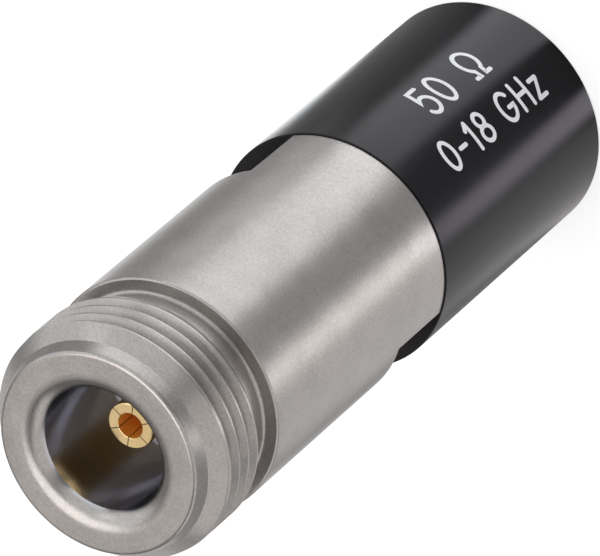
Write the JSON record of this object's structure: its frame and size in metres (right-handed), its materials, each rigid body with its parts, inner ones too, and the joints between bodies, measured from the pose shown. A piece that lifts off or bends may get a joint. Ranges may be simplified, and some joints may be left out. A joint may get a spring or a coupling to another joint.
{
  "type": "rf dummy load",
  "caption": "Coaxial dummy load: a turned steel barrel with a threaded type-N jack and spanner flats, closed by a black sleeve over a matched resistor stack.",
  "frame": {"origin": "centre of the sleeve's rear face, on the axis", "axes": "+Z along the axis towards the connector's mouth, X through the two spanner flats"},
  "size_m": [0.0159, 0.0158, 0.0484],
  "materials": {
    "satin_steel": "satin turned stainless steel",
    "gold_contact": "gold plated",
    "black_anodised": "satin black anodised",
    "bead_plastic": "turned engineering plastic",
    "gold_conductor": "gold plated",
    "turned_brass": "turned brass",
    "film_ceramic": "resistive film on ceramic",
    "silver_cap": "silver plated",
    "spring_steel": "oiled spring steel"
  },
  "bodies": {
    "root": {"connector_body": "satin_steel", "contact_socket": "gold_contact", "support_bead": "bead_plastic", "centre_conductor": "gold_conductor", "bead_clamp_ring": "turned_brass", "matching_horn": "turned_brass", "resistor_rod": "film_ceramic", "resistor_front_cap": "silver_cap", "resistor_rear_cap": "silver_cap", "ground_collet": "turned_brass", "spring_washer": "spring_steel", "lock_ring": "satin_steel", "cover_sleeve": "black_anodised"}
  },
  "joints": []
}
